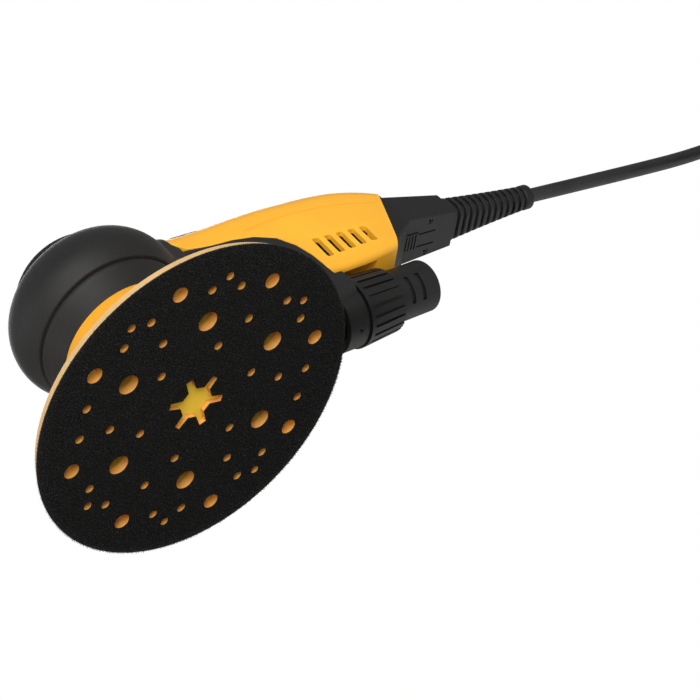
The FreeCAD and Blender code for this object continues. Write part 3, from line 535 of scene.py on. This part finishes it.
def softened(node, width, segments=2, angle=32):
    """Stands for a CAD node with its sharp edges rounded off by width, or less where there is less room."""
    shape = welded(node)
    weights = {}
    for edge in shape.edges:
        if len(edge.link_faces) == 2 and edge.calc_face_angle(0) > math.radians(angle):
            weights[frozenset(vert.index for vert in edge.verts)] = room_beside(edge, width)
    piece = as_piece(node + "_soft", shape, MATERIALS[SLOTS[node]])
    held = piece.data.attributes.new("bevel_weight_edge", "FLOAT", "EDGE")
    for edge in piece.data.edges:
        held.data[edge.index].value = weights.get(frozenset(edge.vertices), 0.0)
    rounding = piece.modifiers.new("rounded_edges", "BEVEL")
    rounding.width = width
    rounding.segments = segments
    rounding.limit_method = "WEIGHT"
    rounding.use_clamp_overlap = False
    rounding.harden_normals = True
    return stands_for(piece, node)


def dress(*nodes):
    """Gives CAD nodes that stay as they are the finish of their slot."""
    for node in nodes:
        piece = NODES[node]
        if not piece.material_slots:
            piece.data.materials.append(None)
        for held in piece.material_slots:
            held.material = MATERIALS[SLOTS[node]]


# ---- cord ---------------------------------------------------------------------------------------

CORD_D = 0.007
CORD_ROUTE = [
    (0.2400, 0.0000, 0.0675),
    (0.2740, 0.0000, 0.0654),
    (0.3090, 0.0000, 0.0633),
    (0.3450, 0.0002, 0.0620),
    (0.3780, -0.0030, 0.0612),
    (0.4070, -0.0130, 0.0588),
    (0.4300, -0.0310, 0.0527),
    (0.4450, -0.0530, 0.0435),
    (0.4490, -0.0780, 0.0336),
    (0.4385, -0.0995, 0.0266),
    (0.4195, -0.1118, 0.0236),
]
TAIL_ROUTE = [(0.4556, -0.0820, 0.0052), (0.4548, -0.0950, 0.0098), (0.4540, -0.1040, 0.0130)]
COIL_STEP = 0.007
COIL_LAYER = 0.0066
COIL_TURNS = 14.75
COIL_POINTS = 16
COIL_COLUMNS = 4
COIL_INSET = 0.001
COIL_ORDER = [(3, (3, 2, 1)), (2, (0, 1, 2, 3)), (1, (3, 2, 1, 0)), (0, (0, 1, 2, 3))]
# A turn keeps its place up to this share of it, then crosses to the next one over that share.
CROSS_FROM = 0.5
CROSS_OVER = 0.28
STAGGER = 0.0005
WOBBLE = 0.0002
FLOOR_GAP = 0.0001


def coil_points():
    """The put-away turns: in along the top layer, then back and forth down to the floor."""
    low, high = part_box("cord_coil")
    centre = (low + high) / 2
    inner = (high.x - low.x) / 2 - COIL_COLUMNS * COIL_STEP + CORD_D / 2 - COIL_INSET
    places = [(column, layer) for layer, columns in COIL_ORDER for column in columns]
    shake = random.Random(5)
    points = []
    for step in range(1, int(COIL_TURNS * COIL_POINTS) + 1):
        turn = step / COIL_POINTS
        here = places[min(int(turn), len(places) - 1)]
        after = places[min(int(turn) + 1, len(places) - 1)]
        move = ramp(turn % 1, CROSS_FROM, CROSS_OVER)
        move = move * move * (3 - 2 * move)
        column = here[0] + (after[0] - here[0]) * move
        layer = here[1] + (after[1] - here[1]) * move
        stagger = STAGGER * math.cos(math.pi * layer)
        radius = inner + COIL_STEP * column + stagger + shake.uniform(-WOBBLE, WOBBLE)
        angle = math.radians(-90) - 2 * math.pi * turn
        height = CORD_D / 2 + FLOOR_GAP + COIL_LAYER * layer
        points.append((centre.x + radius * math.cos(angle), centre.y + radius * math.sin(angle), height))
    return points


def make_cord():
    """The cord as one line: out of the strain relief, round the coil and into the plug."""
    data = bpy.data.curves.new("mains_cord_line", "CURVE")
    data.dimensions = "3D"
    data.bevel_depth = CORD_D / 2
    data.bevel_resolution = 4
    data.use_fill_caps = True
    data.resolution_u = 6
    spline = data.splines.new("NURBS")
    route = CORD_ROUTE + coil_points() + TAIL_ROUTE
    spline.points.add(len(route) - 1)
    for point, place in zip(spline.points, route):
        point.co = (*place, 1)
    spline.order_u = 3
    spline.use_endpoint_u = True
    data.materials.append(MATERIALS["cord_sheath"])
    cord = link(bpy.data.objects.new("mains_cord_line", data))
    return stands_for(cord, "mains_cord", "mains_cord_tail", "cord_coil")


PLUG_STATIONS = [
    # distance behind the cord's end, half width, half height, squareness
    (0.0000, 0.0042, 0.0042, 2.0),
    (0.0006, 0.0050, 0.0050, 2.0),
    (0.0070, 0.0056, 0.0055, 2.0),
    (0.0140, 0.0066, 0.0062, 2.2),
    (0.0180, 0.0098, 0.0076, 2.4),
    (0.0220, 0.0141, 0.0094, 2.6),
    (0.0260, 0.0162, 0.0110, 2.8),
    (0.0300, 0.0170, 0.0120, 3.0),
    (0.0360, 0.0174, 0.0124, 3.0),
    (0.0405, 0.0174, 0.0124, 3.0),
    (0.0416, 0.0168, 0.0118, 3.0),
    (0.0420, 0.0158, 0.0108, 3.0),
]
PLUG_SIDES = 48
RIBS_FROM = 0.0006
RIBS_TO = 0.0140
RIB_STEPS = 8
RIB_RISE = 0.0005
RIB_DIP = -0.4


def plug_stations():
    """The plug's stations, with ribs put in between those of its narrow part."""
    stations = []
    for i, (back, half_w, half_h, power) in enumerate(PLUG_STATIONS):
        stations.append((back, half_w, half_h, power))
        if RIBS_FROM <= back < RIBS_TO:
            next_back, next_w, next_h, _ = PLUG_STATIONS[i + 1]
            for k in range(1, RIB_STEPS):
                t = k / RIB_STEPS
                rib = RIB_RISE * (1 if k % 4 in (1, 2) else RIB_DIP)
                stations.append((back + (next_back - back) * t, half_w + (next_w - half_w) * t + rib,
                                 half_h + (next_h - half_h) * t + rib, power))
    return stations


def make_plug():
    """The moulded plug: a grip that swells from the cord, with ribs across its narrow part."""
    end = Vector(TAIL_ROUTE[-1])
    sides = PLUG_SIDES
    stations = plug_stations()
    points, faces = [], []
    for back, half_w, half_h, power in stations:
        for k in range(sides):
            angle = 2 * math.pi * k / sides
            c, s = math.cos(angle), math.sin(angle)
            x = math.copysign(abs(c) ** (2 / power), c) * half_w
            z = math.copysign(abs(s) ** (2 / power), s) * half_h
            points.append((end.x + x, end.y - back, end.z + z))
    for i in range(len(stations) - 1):
        for k in range(sides):
            a, b = i * sides + k, i * sides + (k + 1) % sides
            faces.append((a, b, b + sides, a + sides))
    last = (len(stations) - 1) * sides
    faces.append(tuple(reversed(range(sides))))
    faces.append(tuple(range(last, last + sides)))
    plug = mesh_piece("plug_grip", points, faces, MATERIALS["plug_plastic"])
    plug.data.set_sharp_from_angle(angle=math.radians(40))
    return stands_for(plug, "mains_plug")


# ---- pad ----------------------------------------------------------------------------------------

HOOK_PITCH = 1.15 * MM
ROW_PITCH = HOOK_PITCH * 0.866
HOOK_BASE = 0.55 * MM
HOOK_REACH = 0.4 * MM
BACKING_LOW = 0.5 * MM
EDGE_MARGIN = 0.35 * MM
HOLE_MARGIN = 0.15 * MM
FIBRES = 2600
FIBRE_INSET = 0.2 * MM
RIM_ANGLE = 1.0
RIM_HEIGHT = 0.1 * MM


def hole_discs():
    """Where the pad is open: (x, y, radius) of each opening, from the edge loops of the grip face."""
    shape = welded("grip_face")
    rim = [edge for edge in shape.edges
           if len(edge.link_faces) == 2 and edge.calc_face_angle(0) > RIM_ANGLE
           and max(vert.co.z for vert in edge.verts) < RIM_HEIGHT]
    joined = {}
    for edge in rim:
        for vert in edge.verts:
            joined.setdefault(vert, []).append(edge)
    seen, discs = set(), []
    for start in joined:
        if start in seen:
            continue
        stack, loop = [start], []
        while stack:
            vert = stack.pop()
            if vert in seen:
                continue
            seen.add(vert)
            loop.append(vert.co.copy())
            stack += [edge.other_vert(vert) for edge in joined[vert]]
        middle = sum(loop, Vector()) / len(loop)
        radius = max((place - middle).length for place in loop)
        if radius < 0.5 * PAD_R:
            discs.append((middle.x, middle.y, radius))
    shape.free()
    return discs


def add_tuft(points, faces, root, lean, height, reach, thick):
    """A bent three-sided bristle from root: down by height, then sideways by reach."""
    across = Vector((-lean.y, lean.x, 0))
    stages = [(0.0, 0.0, 1.0), (0.62, 0.25, 0.85), (1.0, 1.0, 0.4)]
    first = len(points)
    for down, out, width in stages:
        middle = root + lean * (reach * out) - Vector((0, 0, height * down))
        size = thick * width
        points.append(middle + across * size)
        points.append(middle - across * size)
        points.append(middle + lean * size)
    for stage in range(2):
        base = first + 3 * stage
        for k in range(3):
            a, b = base + k, base + (k + 1) % 3
            faces.append((a, b, b + 3, a + 3))
    faces.append((first + 8, first + 7, first + 6))
    faces.append((first, first + 1, first + 2))


def level_heading(angle):
    """The level direction at this angle about the spindle."""
    return Vector((math.cos(angle), math.sin(angle), 0))


def add_hooks(points, faces, draw):
    """A dense pile of hooks, staggered in rows, over all of the face that isn't open."""
    discs = hole_discs()
    rows = int(PAD_R / ROW_PITCH) + 1
    for row in range(-rows, rows + 1):
        for column in range(-rows, rows + 1):
            x = (column + 0.5 * (row % 2)) * HOOK_PITCH + draw.uniform(-0.3, 0.3) * HOOK_PITCH
            y = row * ROW_PITCH + draw.uniform(-0.3, 0.3) * HOOK_PITCH
            turn = draw.uniform(0, 2 * math.pi)
            height = draw.uniform(0.3, 0.52) * MM
            if math.hypot(x, y) > PAD_R - EDGE_MARGIN:
                continue
            x, y = x + PAD_CENTRE.x, y + PAD_CENTRE.y
            if any(math.hypot(x - cx, y - cy) < radius + HOLE_MARGIN for cx, cy, radius in discs):
                continue
            add_tuft(points, faces, Vector((x, y, HOOK_BASE)), level_heading(turn), height, HOOK_REACH,
                     draw.uniform(0.12, 0.2) * MM)


def add_fibres(points, faces, draw):
    """Loose fibres that stand out round the pad's edge."""
    for i in range(FIBRES):
        angle = 2 * math.pi * (i + draw.random()) / FIBRES
        out_x = math.cos(angle + draw.uniform(-0.7, 0.7))
        out_y = math.sin(angle + draw.uniform(-0.7, 0.7))
        edge = PAD_CENTRE + level_heading(angle) * (PAD_R - FIBRE_INSET)
        root = Vector((edge.x, edge.y, draw.uniform(0.35, 0.9) * MM))
        add_tuft(points, faces, root, Vector((out_x, out_y, 0)).normalized(), draw.uniform(-0.1, 0.3) * MM,
                 draw.uniform(0.3, 1.0) * MM, draw.uniform(0.07, 0.13) * MM)


def make_grip():
    """The grip face: a thin backing, with the hooks and fibres that stand on it."""
    draw = random.Random(11)
    points, faces = [], []
    add_hooks(points, faces, draw)
    add_fibres(points, faces, draw)
    hooks = mesh_piece("hook_pile", points, faces, MATERIALS["hook_face"], smooth=False)
    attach(hooks, "pad")

    shape = welded("grip_face")
    for vert in shape.verts:
        vert.co.z = max(vert.co.z, BACKING_LOW)
    backing = as_piece("hook_backing", shape, backing_material(), smooth=False)
    stands_for(backing, "grip_face")


def make_pad():
    make_grip()
    foam = softened("pad_foam", 0.35 * MM)
    softened("pad_plate", 0.3 * MM)
    dress("pad_stud", "pad_spindle")


# ---- head ---------------------------------------------------------------------------------------

GROOVE_Z = 60 * MM
GROOVE_KEPT = 1.6 * MM
BOOT_VOXEL = 0.5 * MM
# Where the bulb meets the neck: the blend comes in along x and up z, and goes out before the neck's end.
BLEND_IN_X = (0.020, 0.008)
BLEND_OUT_X = (0.0395, 0.004)
BLEND_IN_Z = (0.0625, 0.004)


def make_boot():
    """The rubber head cover, with the corner between its bulb and its neck blended away."""
    boot = as_piece("head_cover", welded("head_boot"), MATERIALS["boot_rubber"])
    remesh = boot.modifiers.new("even_mesh", "REMESH")
    remesh.mode = "VOXEL"
    remesh.voxel_size = BOOT_VOXEL
    dense = bpy.data.meshes.new_from_object(boot.evaluated_get(bpy.context.evaluated_depsgraph_get()))
    boot.modifiers.clear()
    boot.data = dense
    dense.materials.clear()
    dense.materials.append(MATERIALS["boot_rubber"])
    dense.shade_smooth()
    joint = boot.vertex_groups.new(name="joint")
    for vert in dense.vertices:
        last_x, fade = BLEND_OUT_X
        along = ramp(vert.co.x, *BLEND_IN_X) * ramp(-vert.co.x, -last_x, fade)
        joint.add([vert.index], along * ramp(vert.co.z, *BLEND_IN_Z), "REPLACE")
    blend = boot.modifiers.new("blended_neck", "SMOOTH")
    blend.factor = 0.6
    blend.iterations = 90
    blend.vertex_group = "joint"
    calm = boot.vertex_groups.new(name="calm")
    off_groove = [vert.index for vert in dense.vertices if abs(vert.co.z - GROOVE_Z) > GROOVE_KEPT]
    calm.add(off_groove, 1.0, "REPLACE")
    even = boot.modifiers.new("calm_surface", "SMOOTH")
    even.factor = 0.5
    even.iterations = 3
    even.vertex_group = "calm"
    stands_for(boot, "head_boot")


def make_head():
    make_boot()
    softened("head_cap", 0.6 * MM, segments=3)
    softened("shroud", 0.25 * MM)
    dress("pad_brake_ring", "motor_sleeve", "motor_lid", "lower_bearing", "upper_bearing", "stator_core",
          "stator_windings")
    dress("eccentric_shaft", "pad_bearings", "counterweight", "fan", "rotor_core", "rotor_magnets")


# ---- handle -------------------------------------------------------------------------------------

def make_handle():
    dress("handle_shell_right", "handle_shell_left", "handle_base")
    softened("lever", 0.4 * MM, segments=3)
    softened("key_panel", 0.2 * MM)
    for node in ("power_button", "speed_up_button", "speed_down_button"):
        softened(node, 0.15 * MM)
    softened("shell_screws", 0.12 * MM)
    dress("lever_pin", "lever_spring", "lever_switch", "status_lens", "control_board", "board_components")


# ---- exhaust and connector ----------------------------------------------------------------------

def make_exhaust():
    dress("exhaust_port", "exhaust_collar", "hose_adapter", "port_screw", "exhaust_seal")


def make_connector():
    softened("strain_relief", 0.35 * MM, segments=3, angle=40)
    dress("inlet_bezel", "cord_connector", "latch_button", "inlet_pins", "connector_screws")


# ---- the whole object ---------------------------------------------------------------------------

bpy.context.scene.view_settings.view_transform = "Standard"
add_camera()
add_world()
add_lights()
add_floor()
MATERIALS = make_materials()
cord_line = make_cord()
plug_grip = make_plug()
dress("mains_plug_pins")
cord_tie = softened("cord_tie", 0.25 * MM)
make_pad()
make_head()
make_handle()
make_exhaust()
make_connector()
